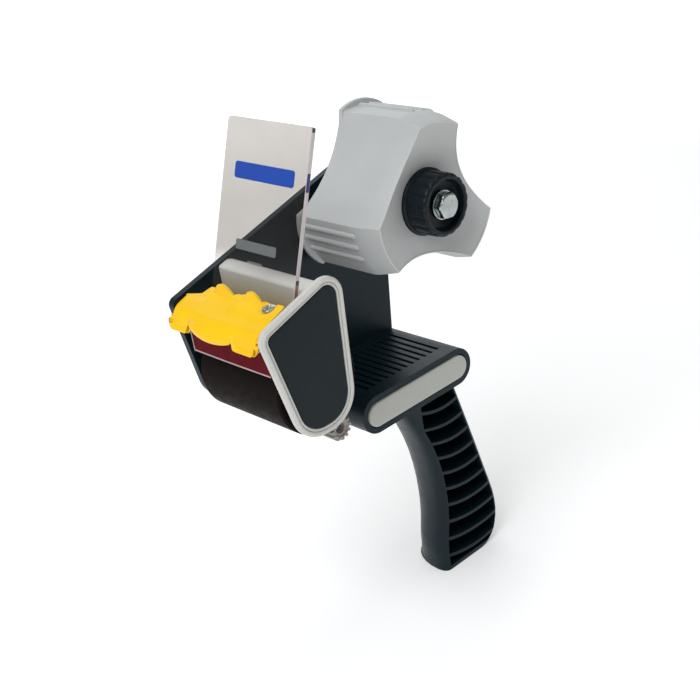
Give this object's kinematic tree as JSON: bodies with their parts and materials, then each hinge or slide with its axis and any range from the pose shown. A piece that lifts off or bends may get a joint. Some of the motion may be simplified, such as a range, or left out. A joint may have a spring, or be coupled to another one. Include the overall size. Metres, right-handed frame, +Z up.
{
  "type": "tape dispenser",
  "caption": "Hand-held carton tape dispenser with a lobed roll hub on an open side, a ribbed handle, a rubber front roller, a toothed blade under a sprung guard and a clear shield.",
  "frame": {"origin": "middle of the handle's flat end face", "axes": "+Z up the handle, -X towards the cutting head, +Y towards the closed side with the frame's side plate; every roller turns about +Y"},
  "size_m": [0.1449, 0.064, 0.2311],
  "materials": {
    "navy_plastic": "fine moulded texture",
    "grey_plastic": "satin",
    "hub_plastic": "satin",
    "yellow_plastic": "semi-gloss",
    "black_plastic": "satin",
    "zinc_steel": "zinc plated",
    "bright_steel": "ground",
    "brown_rubber": "matt",
    "red_rubber": "smooth",
    "fibre": "pressed fibre",
    "clear_sheet": "clear polyester sheet"
  },
  "bodies": {
    "frame": {"main_frame": "navy_plastic", "tray_end_panel": "grey_plastic", "side_cover": "grey_plastic", "side_panel": "navy_plastic", "cover_screw": "zinc_steel", "head_block": "black_plastic", "block_screw": "zinc_steel", "cutting_blade": "bright_steel", "blade_screw_1": "zinc_steel", "blade_screw_2": "zinc_steel", "guard_pivot_pin": "bright_steel", "guard_spring": "bright_steel", "clear_shield": "clear_sheet", "shield_clamp": "black_plastic", "clamp_screw_1": "zinc_steel", "clamp_screw_2": "zinc_steel", "roller_axle": "bright_steel", "roller_screw": "zinc_steel", "guide_axle": "bright_steel", "axle_sleeve": "bright_steel", "brake_spring": "bright_steel", "pressure_washer": "zinc_steel", "axle_nut": "zinc_steel"},
    "hub": {"roll_hub": "hub_plastic", "friction_washer": "fibre"},
    "knob_washers": {"flat_washer": "zinc_steel", "lock_washer": "zinc_steel"},
    "knob": {"tension_knob": "navy_plastic", "axle_bolt": "zinc_steel"},
    "front_roller": {"roller_sleeve": "brown_rubber", "roller_core": "black_plastic"},
    "guide_roller": {"guide_roller": "grey_plastic"},
    "guard": {"blade_guard": "yellow_plastic", "guard_screw": "zinc_steel"},
    "wiper": {"wiper_flap": "red_rubber"}
  },
  "joints": [
    {"name": "hub_spin", "type": "hinge", "parent": "frame", "child": "hub", "pos_m": [0.00441, 0, 0.17902], "axis": [0, 1, 0], "continuous": true},
    {"name": "knob_feed", "type": "slide", "parent": "frame", "child": "knob_washers", "axis": [0, 1, 0], "range_m": [-0.001, 0]},
    {"name": "knob_turn", "type": "hinge", "parent": "knob_washers", "child": "knob", "pos_m": [0.00441, -0.021, 0.17902], "axis": [0, 1, 0], "range_deg": [-370, 5]},
    {"name": "front_roller_spin", "type": "hinge", "parent": "frame", "child": "front_roller", "pos_m": [-0.07602, 0, 0.13282], "axis": [0, 1, 0], "continuous": true},
    {"name": "guide_roller_spin", "type": "hinge", "parent": "frame", "child": "guide_roller", "pos_m": [-0.06615, 0, 0.10784], "axis": [0, 1, 0], "continuous": true},
    {"name": "guard_lift", "type": "hinge", "parent": "frame", "child": "guard", "pos_m": [-0.08747, 0, 0.16412], "axis": [0, 1, 0], "range_deg": [0, 12], "stiffness_Nm_per_rad": 0.03, "springref_deg": -14.32},
    {"name": "wiper_swing", "type": "hinge", "parent": "frame", "child": "wiper", "pos_m": [-0.09587, 0, 0.15676], "axis": [0, 1, 0], "range_deg": [0, 12], "stiffness_Nm_per_rad": 0.01, "springref_deg": -5.73}
  ],
  "couplings": [
    {"joint": "knob_turn", "follows": "knob_feed", "rad_per_m": 6283.2}
  ]
}
